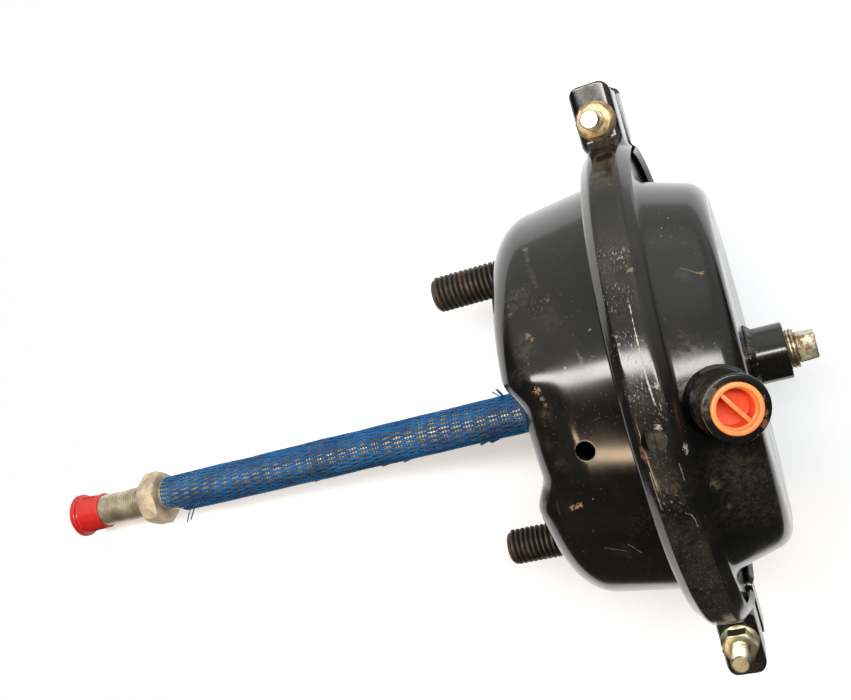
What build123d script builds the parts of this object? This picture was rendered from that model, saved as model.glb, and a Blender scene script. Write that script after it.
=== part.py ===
from build123d import *
import os
from math import cos, hypot, radians, sin, sqrt, tan

# Air brake chamber, in millimetres.
# The push rod points along +X, the ports and the vent face +Z, and the mounting studs
# lie along Y. The origin is on the rod axis, in the plane of the mounting face.

# --- clamped joint between the two housings ---
joint_x = -57.4                 # middle of the clamped diaphragm rim
rim_thickness = 4.6             # diaphragm rim between the two flanges
flange_thickness = 2.8
seat_clearance = 0.3            # between pieces that are clamped or nested, not fitted
cut_margin = 1.0                # how far a cutting tool runs past the face it cuts

# --- clamp ring, a split V band ---
ring_crest_radius = 102.8
ring_crest_half = 4.6           # half width of the flat crest
ring_lip_drop = 4.8             # how far the lips lie inside the crest
ring_lip_half = 8.8             # half width across the lips
ring_wall = 2.6
ring_hole_radius = 4.05
ring_split_gap = 10.0           # open gap between the two halves
ear_width = 16.6
ear_x = -56.4                   # middle of the ears and bolts, a little ahead of the joint
ear_overhang = 14.7             # from a clamp bolt to the end of its ear
ear_seat = 22.5                 # from the split plane to the nut's seat
ear_edge_radius = 3.5
ear_end_radius = 4.5

# --- clamp bolts, 5/16 in ---
clamp_bolt_radius = 3.97
clamp_bolt_gap = 8.0            # from the ring's crest to the middle of a clamp bolt
clamp_bolt_length = 66.0
clamp_bolt_hole_radius = 4.4
clamp_head_height = 5.2
clamp_hex_flats = 12.7
clamp_bolt_chamfer = 0.8
hex_chamfer_angle = 30.0        # degrees, of the turned corners on every hexagon
clamp_nut_flange_radius = 7.9
clamp_nut_flange_height = 1.6
clamp_nut_height = 8.0
thread_clearance = 0.06         # radial, between a threaded shank and its nut

# --- housings ---
housing_wall = 2.8
front_root_radius = 88.0        # outside of the wall where it leaves the flange
front_draft = 7.2               # degrees, the wall narrows away from the flange
front_shoulder_radius = 21.6
rear_root_radius = 83.5
rear_draft = 17.9
rear_depth = 29.2               # from the clamped face to the end face
rear_corner_radius = 10.0
root_fillet = 5.0
rod_hole_radius = 16.0

# --- relief pressed into the mounting face between the studs ---
relief_depth = 6.0
relief_floor_half = 17.0
relief_side_slope = 1.3         # sideways run of its sides for each mm of rise
relief_reach = 14.0             # how far the pressing tool stands out of the floor
relief_shoulder_radius = 27.0
relief_shoulder_height = 77.5   # height of the relief over the rod axis, at the face
relief_fade_height = 86.6
relief_fade_x = -42.0           # where the relief runs out into the wall
relief_floor_fillet = 6.0

# --- vents ---
vent_radius = 3.6
vent_x = -28.8
vent_y = 2.4    # the drill stands a little to the left of the rod axis

# --- mounting studs, 5/8 in ---
stud_radius = 7.94
stud_spacing = 120.65
stud_projection = 34.0
stud_head_radius = 10.0
stud_head_height = 4.5
stud_head_fillet = 1.0
stud_pad_radius = 14.2
stud_pad_depth = 13.0
stud_pad_fillet = 2.0
stud_pocket_fillet = 1.0
stud_pad_rise = 0.8             # the pads are the mounting face, a little proud
stud_neck_radius = 8.6          # serrated neck that is pressed through the wall
stud_hole_clearance = 0.12
stud_chamfer = 1.4

# --- ports, 3/8 in taper thread ---
boss_radius = 11.8
boss_bore_radius = 8.3
boss_chamfer = 0.8
side_boss_x = -77.7             # where the side boss meets the wall
side_boss_clocking = 2.0        # degrees about the rod axis, from +Z towards -Y
side_boss_height = 18.6
rear_boss_length = 15.0
rear_plug_clearance = 0.06
rear_plug_depth = 9.0
rear_plug_neck = 3.4
rear_plug_flats = 11.1
rear_plug_head = 7.8
side_plug_clearance = 0.3
side_plug_rim_radius = 8.95
side_plug_rim_height = 1.4
side_plug_depth = 9.5
side_plug_wall = 1.5
side_plug_floor = 1.6
side_plug_rib = 1.4
side_plug_rib_drop = 2.2        # top of the rib below the rim
side_plug_rib_angle = 35.0      # degrees, about the port

# --- diaphragm and push rod assembly ---
diaphragm_thickness = 3.2
plate_radius = 62.0
plate_thickness = 3.0
plate_curl = 7.0                # height of the turned edge
plate_inner_fillet = 1.5
rod_radius = 7.94
rod_foot_radius = 14.0
rod_foot_height = 4.0
rod_foot_edge_fillet = 1.0
rod_foot_root_fillet = 2.0
rod_end_x = 250.8
rod_chamfer = 1.2

# --- return spring ---
spring_wire = 4.5
spring_small_radius = 22.0
spring_large_radius = 54.0      # each turn is wider by more than the wire, so it closes flat
spring_turns = 6.0

# --- rod fittings ---
jam_nut_setback = 45.6          # from the rod's end to the middle of the nut
jam_nut_flats = 23.8
jam_nut_thickness = 9.5
cap_length = 16.0
cap_wall = 0.95
cap_end_wall = 1.9
cap_flange_radius = 10.65
cap_flange_height = 3.2
cap_flange_fillet = 1.2
sleeve_wall = 1.2
sleeve_clearance = 0.35
sleeve_start_x = -4.0
sleeve_nut_gap = 2.4

ring_lip_radius = ring_crest_radius - ring_lip_drop
clamp_bolt_offset = ring_crest_radius + clamp_bolt_gap
ear_reach = clamp_bolt_offset + ear_overhang
ring_leg_run = ring_lip_half - ring_crest_half
ring_leg_length = hypot(ring_leg_run, ring_lip_drop)
ring_normal_x = ring_lip_drop / ring_leg_length
ring_normal_r = ring_leg_run / ring_leg_length
ring_inner_lip_half = ring_lip_half - ring_wall * ring_normal_x
ring_inner_lip_radius = ring_lip_radius - ring_wall * ring_normal_r

stack_half = rim_thickness / 2 + flange_thickness
flange_gap = ring_inner_lip_half - stack_half - seat_clearance / ring_normal_x
flange_radius = ring_inner_lip_radius + flange_gap * ring_lip_drop / ring_leg_run

front_contact_x = joint_x + rim_thickness / 2
rear_contact_x = joint_x - rim_thickness / 2
front_depth = -front_contact_x - stud_pad_rise
rear_end_x = rear_contact_x - rear_depth
stud_y = stud_spacing / 2
jam_nut_x = rod_end_x - jam_nut_setback


def face_of(corners):
    """A face from corners given as (first, second, fillet radius) in the XY plane."""
    points = [(corner[0], corner[1]) for corner in corners]
    radii = [corner[2] for corner in corners]
    return make_face(FilletPolyline(*points, radius=radii, close=True))


def turned(corners):
    """A solid of revolution about the rod axis from (x, radius, fillet) corners."""
    return revolve(face_of(corners), axis=Axis.X)


def rod_along_x(radius, start, end):
    return Location((start, 0, 0), (0, 90, 0)) * extrude(Circle(radius), end - start)


def upright(radius, x, y, bottom, top):
    return Location((x, y, bottom)) * extrude(Circle(radius), top - bottom)


def cup_radius(root, draft, depth_in):
    """Outside radius of a housing wall at a depth from its clamped face."""
    return root - (depth_in - flange_thickness) * tan(radians(draft))


def cup_outside(contact_x, way, root, draft, depth, corner):
    """The filled outer shape of a housing; way is +1 for the front, -1 for the rear."""
    face_x = contact_x + way * depth
    flange_x = contact_x + way * flange_thickness
    return turned([
        (contact_x, 0, 0),
        (contact_x, flange_radius, 0),
        (flange_x, flange_radius, 0),
        (flange_x, root, root_fillet),
        (face_x, cup_radius(root, draft, depth), corner),
        (face_x, 0, 0),
    ])


def cup_inside(contact_x, way, root, draft, depth, corner):
    """The hollow of a housing, one wall inside its outer shape."""
    mouth = -cut_margin
    floor = depth - housing_wall
    slant = housing_wall / cos(radians(draft))
    return turned([
        (contact_x + way * mouth, 0, 0),
        (contact_x + way * mouth, cup_radius(root, draft, mouth) - slant, 0),
        (contact_x + way * floor, cup_radius(root, draft, floor) - slant, corner - housing_wall),
        (contact_x + way * floor, 0, 0),
    ])


def relief(grow):
    """Pressing tool for the relief, a channel from the face round both shoulders.

    Grown by the wall it shapes the inside.
    """
    floor_half = relief_floor_half + grow
    mouth_half = floor_half + relief_reach * relief_side_slope
    section = face_of([
        (-floor_half, 0, relief_floor_fillet),
        (-mouth_half, relief_reach, 0),
        (mouth_half, relief_reach, 0),
        (floor_half, 0, relief_floor_fillet),
    ])
    floor_x = -relief_depth - grow
    path = Plane.XZ * FilletPolyline(
        (floor_x, 0),
        (floor_x, relief_shoulder_height - grow),
        (relief_fade_x, relief_fade_height - grow),
        radius=relief_shoulder_radius - grow,
    )
    start = Plane(origin=(floor_x, 0, 0), x_dir=(0, -1, 0), z_dir=(0, 0, 1))
    upper = sweep(start * section, path=path)
    return upper + mirror(upper, about=Plane.XY)


def stud_pad(grow):
    """The raised flat round a stud, or its hollow inside when grown by the wall."""
    return turned([
        (-stud_pad_depth - grow, 0, 0),
        (-stud_pad_depth - grow, stud_pad_radius - grow, 0),
        (-grow, stud_pad_radius - grow, stud_pocket_fillet if grow else stud_pad_fillet),
        (-grow, 0, 0),
    ])


def non_pressure_housing():
    cup = (front_contact_x, 1, front_root_radius, front_draft, front_depth, front_shoulder_radius)
    outside = cup_outside(*cup) - relief(0)
    hollow = cup_inside(*cup) - relief(housing_wall)
    for side in (-1, 1):
        outside += Pos(0, side * stud_y, 0) * stud_pad(0)
        hollow += Pos(0, side * stud_y, 0) * stud_pad(housing_wall)
    shell = outside - hollow
    floor_inside = -relief_depth - housing_wall
    shell -= rod_along_x(rod_hole_radius, floor_inside - cut_margin, cut_margin)
    shell -= upright(vent_radius, vent_x, vent_y, -ear_reach, ear_reach)
    for side in (-1, 1):
        hole_radius = stud_neck_radius + stud_hole_clearance
        hole = rod_along_x(hole_radius, -housing_wall - cut_margin, cut_margin)
        shell -= Pos(0, side * stud_y, 0) * hole
    return shell


def side_port_frame():
    """Where the side port's axis leaves the wall; local Z runs out along the port."""
    reach = cup_radius(rear_root_radius, rear_draft, rear_contact_x - side_boss_x)
    lean = radians(rear_draft)
    plane = Plane(origin=(side_boss_x, 0, reach), x_dir=(cos(lean), 0, sin(lean)),
                  z_dir=(-sin(lean), 0, cos(lean)))
    return Plane(Rot(side_boss_clocking, 0, 0) * plane.location)


def rear_cup():
    return (rear_contact_x, -1, rear_root_radius, rear_draft, rear_depth, rear_corner_radius)


def pressure_housing():
    shell = cup_outside(*rear_cup()) - cup_inside(*rear_cup())
    shell -= side_port_frame() * extrude(Circle(boss_bore_radius), boss_radius, both=True)
    inside_face = rear_end_x + housing_wall
    shell -= rod_along_x(boss_bore_radius, rear_end_x - cut_margin, inside_face + cut_margin)
    return shell


def side_port_boss():
    boss = extrude(Circle(boss_radius), side_boss_height)
    boss = chamfer(boss.edges().group_by(Axis.Z)[-1], boss_chamfer)
    boss += Pos(0, 0, -boss_radius) * extrude(Circle(boss_radius), boss_radius)
    boss -= extrude(Circle(boss_bore_radius), side_boss_height, both=True)
    return side_port_frame() * boss - cup_outside(*rear_cup())


def rear_port_boss():
    end = rear_end_x - rear_boss_length
    return turned([
        (rear_end_x, boss_bore_radius, 0),
        (rear_end_x, boss_radius, 0),
        (end + boss_chamfer, boss_radius, 0),
        (end, boss_radius - boss_chamfer, 0),
        (end, boss_bore_radius, 0),
    ])


def side_port_plug():
    body_radius = boss_bore_radius - side_plug_clearance
    bore = body_radius - side_plug_wall
    top = side_boss_height + side_plug_rim_height
    bottom = side_boss_height - side_plug_depth
    pocket_floor = bottom + side_plug_floor
    plug = upright(body_radius, 0, 0, bottom, side_boss_height)
    plug += upright(side_plug_rim_radius, 0, 0, side_boss_height, top)
    plug -= upright(bore, 0, 0, pocket_floor, top)
    rib_plan = Rectangle(2 * bore + side_plug_wall, side_plug_rib)
    rib = Pos(0, 0, pocket_floor) * extrude(rib_plan, top - side_plug_rib_drop - pocket_floor)
    return side_port_frame() * (plug + Rot(0, 0, side_plug_rib_angle) * rib)


def rear_port_plug():
    end = rear_end_x - rear_boss_length
    thread_radius = boss_bore_radius - rear_plug_clearance
    thread = rod_along_x(thread_radius, end - rear_plug_neck, end + rear_plug_depth)
    square = extrude(Rectangle(rear_plug_flats, rear_plug_flats), rear_plug_head)
    square = chamfer(square.edges().group_by(Axis.Z)[-1], boss_chamfer)
    return thread + Location((end - rear_plug_neck, 0, 0), (0, -90, 0)) * square


def mounting_stud(side):
    inside_face = -housing_wall
    shank = turned([
        (inside_face - stud_head_height, 0, 0),
        (inside_face - stud_head_height, stud_head_radius, stud_head_fillet),
        (inside_face, stud_head_radius, 0),
        (inside_face, stud_neck_radius, 0),
        (0, stud_neck_radius, 0),
        (0, stud_radius, 0),
        (stud_projection - stud_chamfer, stud_radius, 0),
        (stud_projection, stud_radius - stud_chamfer, 0),
        (stud_projection, 0, 0),
    ])
    return Pos(0, side * stud_y, 0) * shank


def diaphragm():
    """A moulded cup that lies in the pressure housing, clamped at its rim."""
    tilt = cos(radians(rear_draft))
    inset = (housing_wall + seat_clearance) / tilt
    thick = diaphragm_thickness / tilt
    floor_x = rear_end_x + housing_wall + seat_clearance
    inner_x = floor_x + diaphragm_thickness
    corner = rear_corner_radius - housing_wall

    def outer_radius(x):
        return cup_radius(rear_root_radius, rear_draft, rear_contact_x - x) - inset

    return turned([
        (rear_contact_x, flange_radius - seat_clearance, 0),
        (rear_contact_x, outer_radius(rear_contact_x), 0),
        (floor_x, outer_radius(floor_x), corner),
        (floor_x, 0, 0),
        (inner_x, 0, 0),
        (inner_x, outer_radius(inner_x) - thick, corner - diaphragm_thickness),
        (front_contact_x, outer_radius(front_contact_x) - thick, rim_thickness),
        (front_contact_x, flange_radius - seat_clearance, 0),
    ])


def plate_back_x():
    return rear_end_x + housing_wall + diaphragm_thickness + 2 * seat_clearance


def push_plate():
    back = plate_back_x()
    inner_edge = plate_radius - plate_thickness
    return turned([
        (back, 0, 0),
        (back, plate_radius, plate_thickness + plate_inner_fillet),
        (back + plate_curl, plate_radius, 0),
        (back + plate_curl, inner_edge, 0),
        (back + plate_thickness, inner_edge, plate_inner_fillet),
        (back + plate_thickness, 0, 0),
    ])


def push_rod():
    foot = plate_back_x() + plate_thickness
    return turned([
        (foot, 0, 0),
        (foot, rod_foot_radius, 0),
        (foot + rod_foot_height, rod_foot_radius, rod_foot_edge_fillet),
        (foot + rod_foot_height, rod_radius, rod_foot_root_fillet),
        (rod_end_x - rod_chamfer, rod_radius, 0),
        (rod_end_x, rod_radius - rod_chamfer, 0),
        (rod_end_x, 0, 0),
    ])


def atan_degrees(slope):
    return Vector(1, 0).get_angle(Vector(1, slope))


def return_spring():
    """A conical coil, small end on the push plate, large end inside the mounting face."""
    start = plate_back_x() + plate_thickness + seat_clearance + spring_wire / 2
    end = -relief_depth - housing_wall - seat_clearance - spring_wire / 2
    height = end - start
    taper = (spring_large_radius - spring_small_radius) / height
    path = Helix(
        pitch=height / spring_turns,
        height=height,
        radius=spring_small_radius,
        center=(start, 0, 0),
        direction=(1, 0, 0),
        cone_angle=atan_degrees(taper),
    )
    section = Plane(origin=path @ 0, z_dir=path % 0) * Circle(spring_wire / 2)
    return sweep(section, path=path, is_frenet=True)


def ring_band():
    crest_inner_radius = ring_crest_radius - ring_wall
    rise = crest_inner_radius - ring_inner_lip_radius
    crest_inner_half = ring_inner_lip_half - rise * ring_leg_run / ring_lip_drop
    half = [
        (ring_crest_half, ring_crest_radius, ring_wall),
        (ring_lip_half, ring_lip_radius, 0),
        (ring_inner_lip_half, ring_inner_lip_radius, 0),
        (crest_inner_half, crest_inner_radius, 0),
    ]
    corners = [(joint_x + x, r, fillet_radius) for x, r, fillet_radius in half]
    corners += [(joint_x - x, r, fillet_radius) for x, r, fillet_radius in reversed(half)]
    return turned(corners)


def ear(side):
    outer = ear_width / 2
    inner = outer - ring_wall
    inner_edge = ear_edge_radius - ring_wall
    channel = extrude(
        Plane.XZ * face_of([
            (-outer, ring_split_gap / 2, 0),
            (-outer, ear_seat, ear_edge_radius),
            (outer, ear_seat, ear_edge_radius),
            (outer, ring_split_gap / 2, 0),
            (inner, ring_split_gap / 2, 0),
            (inner, ear_seat - ring_wall, inner_edge),
            (-inner, ear_seat - ring_wall, inner_edge),
            (-inner, ring_split_gap / 2, 0),
        ]),
        ear_reach,
        both=True,
    )
    start = ring_lip_radius + seat_clearance
    plan = face_of([
        (-outer, start, 0),
        (-outer, ear_reach, ear_end_radius),
        (outer, ear_reach, ear_end_radius),
        (outer, start, 0),
    ])
    lug = channel & extrude(plan, ear_seat + cut_margin)
    lug -= upright(clamp_bolt_hole_radius, 0, clamp_bolt_offset, 0, ear_seat + cut_margin)
    lug = Pos(ear_x, 0, 0) * lug
    return lug if side > 0 else mirror(lug, about=Plane.XZ)


def clamp_ring_upper():
    size = 4 * ring_crest_radius
    band = ring_band() - Pos(joint_x, 0, ring_split_gap / 2 - size / 2) * Box(size, size, size)
    band += ear(1)
    band += ear(-1)
    return band - upright(ring_hole_radius, joint_x, 0, 0, ear_reach)


def clamp_ring_lower():
    return mirror(clamp_ring_upper(), about=Plane.XY)


def hexagon(flats):
    return RegularPolygon(flats / 2, 6, major_radius=False)


def chamfered_hex(flats, height):
    """A hexagon prism with its corners turned down at the top."""
    corner = flats / sqrt(3)
    drop = (corner - flats / 2) * tan(radians(hex_chamfer_angle))
    turned_edge = face_of([
        (0, 0, 0),
        (corner, 0, 0),
        (corner, height - drop, 0),
        (flats / 2, height, 0),
        (0, height, 0),
    ])
    return extrude(hexagon(flats), height) & revolve(Plane.XZ * turned_edge, axis=Axis.Z)


def clamp_bolt(side):
    shank = extrude(Circle(clamp_bolt_radius), clamp_bolt_length)
    shank = chamfer(shank.edges().group_by(Axis.Z)[-1], clamp_bolt_chamfer)
    head = Rot(180, 0, 0) * chamfered_hex(clamp_hex_flats, clamp_head_height)
    return Pos(ear_x, side * clamp_bolt_offset, -ear_seat) * (shank + head)


def clamp_nut(side):
    hex_height = clamp_nut_height - clamp_nut_flange_height
    nut = Pos(0, 0, clamp_nut_flange_height) * chamfered_hex(clamp_hex_flats, hex_height)
    nut += extrude(Circle(clamp_nut_flange_radius), clamp_nut_flange_height)
    nut -= extrude(Circle(clamp_bolt_radius + thread_clearance), clamp_nut_height)
    return Pos(ear_x, side * clamp_bolt_offset, ear_seat) * nut


def rod_jam_nut():
    half = chamfered_hex(jam_nut_flats, jam_nut_thickness / 2)
    nut = half + mirror(half, about=Plane.XY)
    nut -= extrude(Circle(rod_radius + thread_clearance), jam_nut_thickness, both=True)
    return Location((jam_nut_x, 0, 0), (0, 90, 0)) * nut


def rod_thread_cap():
    bore = rod_radius + thread_clearance
    skirt = bore + cap_wall
    tip = rod_end_x + seat_clearance + cap_end_wall
    return turned([
        (tip, 0, 0),
        (tip, cap_flange_radius, cap_flange_fillet),
        (tip - cap_flange_height, cap_flange_radius, cap_flange_fillet),
        (tip - cap_flange_height, skirt, 0),
        (tip - cap_length, skirt, 0),
        (tip - cap_length, bore, 0),
        (rod_end_x + seat_clearance, bore, 0),
        (rod_end_x + seat_clearance, 0, 0),
    ])


def rod_sleeve():
    inner = rod_radius + sleeve_clearance
    end = jam_nut_x - jam_nut_thickness / 2 - sleeve_nut_gap
    outside = rod_along_x(inner + sleeve_wall, sleeve_start_x, end)
    return outside - rod_along_x(inner, sleeve_start_x, end)


pieces = {
    "pressure_housing": pressure_housing(),
    "side_port_boss": side_port_boss(),
    "side_port_plug": side_port_plug(),
    "rear_port_boss": rear_port_boss(),
    "rear_port_plug": rear_port_plug(),
    "non_pressure_housing": non_pressure_housing(),
    "diaphragm": diaphragm(),
    "push_plate": push_plate(),
    "push_rod": push_rod(),
    "return_spring": return_spring(),
    "clamp_ring_upper": clamp_ring_upper(),
    "clamp_ring_lower": clamp_ring_lower(),
    "rod_jam_nut": rod_jam_nut(),
    "rod_thread_cap": rod_thread_cap(),
    "rod_sleeve": rod_sleeve(),
}
for name, side in (("left", 1), ("right", -1)):
    pieces[f"mounting_stud_{name}"] = mounting_stud(side)
    pieces[f"clamp_bolt_{name}"] = clamp_bolt(side)
    pieces[f"clamp_nut_{name}"] = clamp_nut(side)

os.makedirs("parts", exist_ok=True)
for node, shape in pieces.items():
    export_step(shape, f"parts/{node}.step")
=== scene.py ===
from math import atan2, ceil, cos, hypot, pi, radians, sin, sqrt, tan

import bmesh
import bpy
from mathutils import Matrix, Vector
from mathutils.noise import noise as fieldNoise


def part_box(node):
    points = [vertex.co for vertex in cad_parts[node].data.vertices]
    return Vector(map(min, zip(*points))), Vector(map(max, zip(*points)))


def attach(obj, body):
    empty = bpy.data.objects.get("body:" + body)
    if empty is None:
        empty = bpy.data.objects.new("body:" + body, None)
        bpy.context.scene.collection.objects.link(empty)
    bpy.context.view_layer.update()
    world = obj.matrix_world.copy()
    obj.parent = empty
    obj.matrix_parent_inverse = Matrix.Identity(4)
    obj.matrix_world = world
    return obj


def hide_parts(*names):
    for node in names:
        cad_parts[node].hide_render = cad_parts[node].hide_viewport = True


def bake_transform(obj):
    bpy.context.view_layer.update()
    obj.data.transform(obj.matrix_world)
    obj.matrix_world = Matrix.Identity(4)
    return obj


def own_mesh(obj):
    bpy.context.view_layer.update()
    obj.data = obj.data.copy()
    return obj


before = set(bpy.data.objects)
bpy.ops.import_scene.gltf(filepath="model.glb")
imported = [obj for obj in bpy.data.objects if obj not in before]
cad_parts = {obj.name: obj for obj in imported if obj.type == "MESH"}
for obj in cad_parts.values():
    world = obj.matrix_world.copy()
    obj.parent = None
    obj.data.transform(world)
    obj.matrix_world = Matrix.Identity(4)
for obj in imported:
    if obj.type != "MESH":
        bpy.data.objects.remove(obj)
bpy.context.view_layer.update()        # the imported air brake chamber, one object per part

mm = 0.001
fullTurn = 2 * pi
weldGap = 0.002 * mm      # points nearer than this are merged
sliver = 0.0005 * mm      # edges shorter than this are dissolved
print("stage: frame loaded,", len(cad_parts), "parts")


# Mesh tools. Sizes are in millimetres and X is the push rod's axis.

def rounded(corners, steps=6):      # (across, up, fillet) corners to an outline with arcs
    outline = []
    for i, (across, up, fillet) in enumerate(corners):
        here = Vector((across, up))
        if fillet <= 0:
            outline.append(here)
            continue
        before = (Vector(corners[i - 1][:2]) - here).normalized()
        after = (Vector(corners[(i + 1) % len(corners)][:2]) - here).normalized()
        half = before.angle(after) / 2
        centre = here + (before + after).normalized() * (fillet / sin(half))
        start = here + before * (fillet / tan(half)) - centre
        end = here + after * (fillet / tan(half)) - centre
        sweep = atan2(start.x * end.y - start.y * end.x, start.dot(end))
        for k in range(steps + 1):
            turn = sweep * k / steps
            outline.append(centre + Vector((start.x * cos(turn) - start.y * sin(turn),
                                            start.x * sin(turn) + start.y * cos(turn))))
    return outline


def ease(t):        # 0 to 1, level at both ends
    t = min(max(t, 0.0), 1.0)
    return t * t * (3 - 2 * t)


def mix(a, b, t):
    return a + (b - a) * t


def span(part):     # lowest and highest corners of a part
    low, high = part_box(part)
    return Vector(low) / mm, Vector(high) / mm


def tidy(bm, middle=None):      # merged, with faces that point away from the middle
    bmesh.ops.remove_doubles(bm, verts=bm.verts, dist=weldGap)
    bmesh.ops.dissolve_degenerate(bm, edges=bm.edges, dist=sliver)
    bmesh.ops.recalc_face_normals(bm, faces=bm.faces)
    if middle is not None:
        centre = Vector(middle) * mm
        outward = sum((f.calc_center_median() - centre).dot(f.normal) * f.calc_area() for f in bm.faces)
        if outward < 0:
            bmesh.ops.reverse_faces(bm, faces=bm.faces)


def closeEnds(bm):
    bmesh.ops.holes_fill(bm, edges=[e for e in bm.edges if len(e.link_faces) == 1], sides=0)


def lathe(bm, outline, steps=96, closed=True):      # an outline of (x, radius) spun about the rod's axis
    verts = [bm.verts.new((x * mm, 0, r * mm)) for x, r in outline]
    ends = verts[1:] + verts[:1] if closed else verts[1:]
    edges = [bm.edges.new(pair) for pair in zip(verts, ends)]
    bmesh.ops.spin(bm, geom=verts + edges, cent=(0, 0, 0), axis=(1, 0, 0), angle=fullTurn,
                   steps=steps, use_merge=True)


def wrap(bm, across, along, place):     # a grid laid where place(u, v) says, u and v from 0 to 1
    made = bmesh.ops.create_grid(bm, x_segments=across, y_segments=along, size=1)
    for vert in made["verts"]:
        vert.co = Vector(place((vert.co.x + 1) / 2, (vert.co.y + 1) / 2)) * mm


ridge = {"flatFrom": 0.33, "flatTo": 0.67, "tipFall": 0.9}     # shares of the pitch, and the slope at the tip


def thread(bm, sizes, start, end, steps):
    # a helical ridge swept past both ends, cut square, closed, with its tip turned down
    radius, pitch, root = sizes["radius"], sizes["pitch"], sizes["radius"] - sizes["depth"]
    section = [(0, root), (ridge["flatFrom"] * pitch, radius), (ridge["flatTo"] * pitch, radius),
               (pitch, root)]
    verts = [bm.verts.new(((start - pitch + x) * mm, 0, r * mm)) for x, r in section]
    edges = [bm.edges.new(pair) for pair in zip(verts, verts[1:])]
    bmesh.ops.spin(bm, geom=verts + edges, cent=(0, 0, 0), axis=(1, 0, 0), angle=fullTurn, steps=steps,
                   dvec=(pitch / steps * mm, 0, 0))
    turns, made = ceil((end - start) / pitch) + 2, 1
    while made < turns:     # the turns so far are copied on, doubling each time
        copied = bmesh.ops.duplicate(bm, geom=bm.verts[:] + bm.edges[:] + bm.faces[:])["geom"]
        moved = [g for g in copied if isinstance(g, bmesh.types.BMVert)]
        bmesh.ops.translate(bm, verts=moved, vec=(made * pitch * mm, 0, 0))
        made *= 2
    bmesh.ops.remove_doubles(bm, verts=bm.verts, dist=weldGap)
    for place, way in ((start, -1), (end, 1)):
        bmesh.ops.bisect_plane(bm, geom=bm.verts[:] + bm.edges[:] + bm.faces[:], dist=1e-7,
                               plane_co=(place * mm, 0, 0), plane_no=(way, 0, 0), clear_outer=True)
    for vert in bm.verts:
        x, r = vert.co.x / mm, vert.co.yz.length / mm
        limit = radius - ridge["tipFall"] * max(0.0, x - end + sizes["tip"])
        if r > limit:
            vert.co.y *= limit / r
            vert.co.z *= limit / r
    closeEnds(bm)
    tidy(bm, ((start + end) / 2, 0, 0))


cone = {"share": 0.985, "lean": 0.58}       # where it meets a hexagon's end face, and its lean


def hexagon(bm, flats, start, end, bore, bothEnds=False):
    # a hexagon along X, its corners turned down by a shallow cone at the end, or at both ends
    share = fullTurn / 6
    turned = flats / 2 * cone["share"]
    lean = cone["lean"] if end > start else -cone["lean"]

    def place(u, v):
        angle = u * fullTurn
        side = flats / 2 / cos((angle + share / 2) % share - share / 2)
        fall = (side - turned) * lean
        near = [(start, turned), (start + fall, side)] if bothEnds else [(start, side)]
        loops = [(start, bore), *near, (end - fall, side), (end, turned), (end, bore), (start, bore)]
        x, r = loops[round(v * (len(loops) - 1))]
        return x, r * cos(angle), r * sin(angle)
    wrap(bm, 72, 6 if bothEnds else 5, place)


def strand(bm, path, radius):       # a thin round thread through a list of points
    askew = Vector((0.13, 0.31, 0.94))      # lies along none of the threads

    def place(u, v):
        at = round(v * (len(path) - 1))
        run = (path[min(at + 1, len(path) - 1)] - path[max(at - 1, 0)]).normalized()
        side = run.cross(askew).normalized()
        return path[at] + radius * (side * cos(u * fullTurn) + run.cross(side) * sin(u * fullTurn))
    wrap(bm, 5, len(path) - 1, place)


def block(bm, size, middle):        # a plain box, and its corners
    corners = bmesh.ops.create_cube(bm, size=1)["verts"]
    bmesh.ops.scale(bm, verts=corners, vec=Vector(size) * mm)
    bmesh.ops.translate(bm, verts=corners, vec=Vector(middle) * mm)
    return corners


def turnedAbout(bm, verts, angle):      # round the X axis, in degrees
    bmesh.ops.rotate(bm, verts=verts, cent=(0, 0, 0), matrix=Matrix.Rotation(radians(angle), 3, "X"))


def stood(bm, point, direction):        # turned from the X axis to stand at a point
    turn = Vector((1, 0, 0)).rotation_difference(Vector(direction)).to_matrix().to_4x4()
    bmesh.ops.transform(bm, matrix=Matrix.Translation(Vector(point) * mm) @ turn, verts=bm.verts)


def objectFrom(bm, name):
    mesh = bpy.data.meshes.new(name)
    bm.to_mesh(mesh)
    bm.free()
    obj = bpy.data.objects.new(name, mesh)
    bpy.context.scene.collection.objects.link(obj)
    return obj


def applied(obj, kind, **settings):     # a modifier made part of the mesh
    tool = obj.modifiers.new(kind.title(), kind)
    for key, value in settings.items():
        setattr(tool, key, value)
    bpy.context.view_layer.update()
    shaped = bpy.data.meshes.new_from_object(obj.evaluated_get(bpy.context.evaluated_depsgraph_get()))
    obj.modifiers.clear()
    obj.data = shaped
    return obj


def walled(obj, wall):      # thickness added on the inner side
    return applied(obj, "SOLIDIFY", thickness=wall * mm, offset=-1, use_even_offset=True)


def bevelled(obj, width, segments=2, angle=40):
    return applied(obj, "BEVEL", width=width * mm, segments=segments, limit_method="ANGLE",
                   angle_limit=radians(angle))


def drilled(obj, holes):        # holes are (start, end, radius)
    for start, end, radius in holes:
        bm = bmesh.new()
        run = Vector(end) - Vector(start)
        bmesh.ops.create_cone(bm, cap_ends=True, segments=48, radius1=radius * mm, radius2=radius * mm,
                              depth=run.length * mm, matrix=Matrix.Rotation(pi / 2, 4, "Y"))
        stood(bm, Vector(start) + run / 2, run)
        cutter = objectFrom(bm, obj.name + "Drill")
        applied(obj, "BOOLEAN", operation="DIFFERENCE", solver="EXACT", object=cutter)
        bpy.data.objects.remove(cutter)


def finished(obj, finish, body, slot, *nodes, sharp=35):        # nodes are the CAD parts that it stands for
    obj.data.shade_smooth()
    obj.data.set_sharp_from_angle(angle=radians(sharp))
    obj.data.materials.clear()
    obj.data.materials.append(finishes[finish])
    if body:
        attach(obj, body)
    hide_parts(*nodes)


# Material tools

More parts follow.
